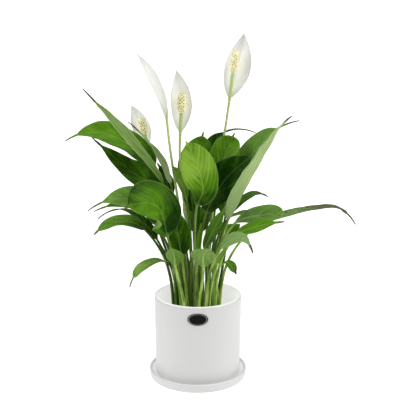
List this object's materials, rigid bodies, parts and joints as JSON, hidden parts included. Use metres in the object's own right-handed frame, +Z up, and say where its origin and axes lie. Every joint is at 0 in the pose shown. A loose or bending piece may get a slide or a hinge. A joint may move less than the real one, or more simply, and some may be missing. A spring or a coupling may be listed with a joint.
{
  "type": "potted peace lily",
  "caption": "Potted peace lily: dark arching leaves and white hooded blooms rise from soil in a white glazed cylindrical pot that stands on its saucer.",
  "frame": {"origin": "centre of the flat underside of the saucer", "axes": "+Z up along the pot's axis; -Y faces the viewer and carries the pot's dark sticker; +X to the viewer's right"},
  "size_m": [0.457, 0.2758, 0.5471],
  "materials": {
    "white_glaze": "gloss",
    "black_label": "gloss",
    "potting_soil": "matte",
    "green_leaf": "satin",
    "flower_stalk": "satin",
    "white_spathe": "satin",
    "cream_spadix": "matte"
  },
  "bodies": {
    "root": {"saucer": "white_glaze", "pot": "white_glaze", "label": "black_label", "soil": "potting_soil", "bloom_centre_spadix": "cream_spadix", "bloom_centre_spathe": "white_spathe", "bloom_centre_stalk": "flower_stalk", "bloom_high_spadix": "cream_spadix", "bloom_high_spathe": "white_spathe", "bloom_high_stalk": "flower_stalk", "bloom_low_spadix": "cream_spadix", "bloom_low_spathe": "white_spathe", "bloom_low_stalk": "flower_stalk", "bloom_side_spadix": "cream_spadix", "bloom_side_spathe": "white_spathe", "bloom_side_stalk": "flower_stalk", "centre_back": "green_leaf", "centre_dark": "green_leaf", "centre_front": "green_leaf", "centre_left": "green_leaf", "centre_low": "green_leaf", "centre_shade": "green_leaf", "front_centre": "green_leaf", "front_left": "green_leaf", "left_back": "green_leaf", "left_big": "green_leaf", "left_broad": "green_leaf", "left_dark": "green_leaf", "left_inner": "green_leaf", "left_inner_back": "green_leaf", "left_low": "green_leaf", "left_low_back": "green_leaf", "left_mid": "green_leaf", "left_small": "green_leaf", "left_spear": "green_leaf", "left_under": "green_leaf", "rear_centre": "green_leaf", "rear_left": "green_leaf", "rear_low": "green_leaf", "rear_low_left": "green_leaf", "rear_low_right": "green_leaf", "rear_outer_left": "green_leaf", "rear_right": "green_leaf", "rear_top": "green_leaf", "right_back": "green_leaf", "right_broad": "green_leaf", "right_long": "green_leaf", "right_low": "green_leaf", "right_small": "green_leaf", "right_spear": "green_leaf", "right_thin": "green_leaf", "right_thin_back": "green_leaf", "right_under": "green_leaf", "shoot_centre": "green_leaf", "shoot_right_low": "green_leaf", "top_arch": "green_leaf", "top_front": "green_leaf"}
  },
  "joints": []
}
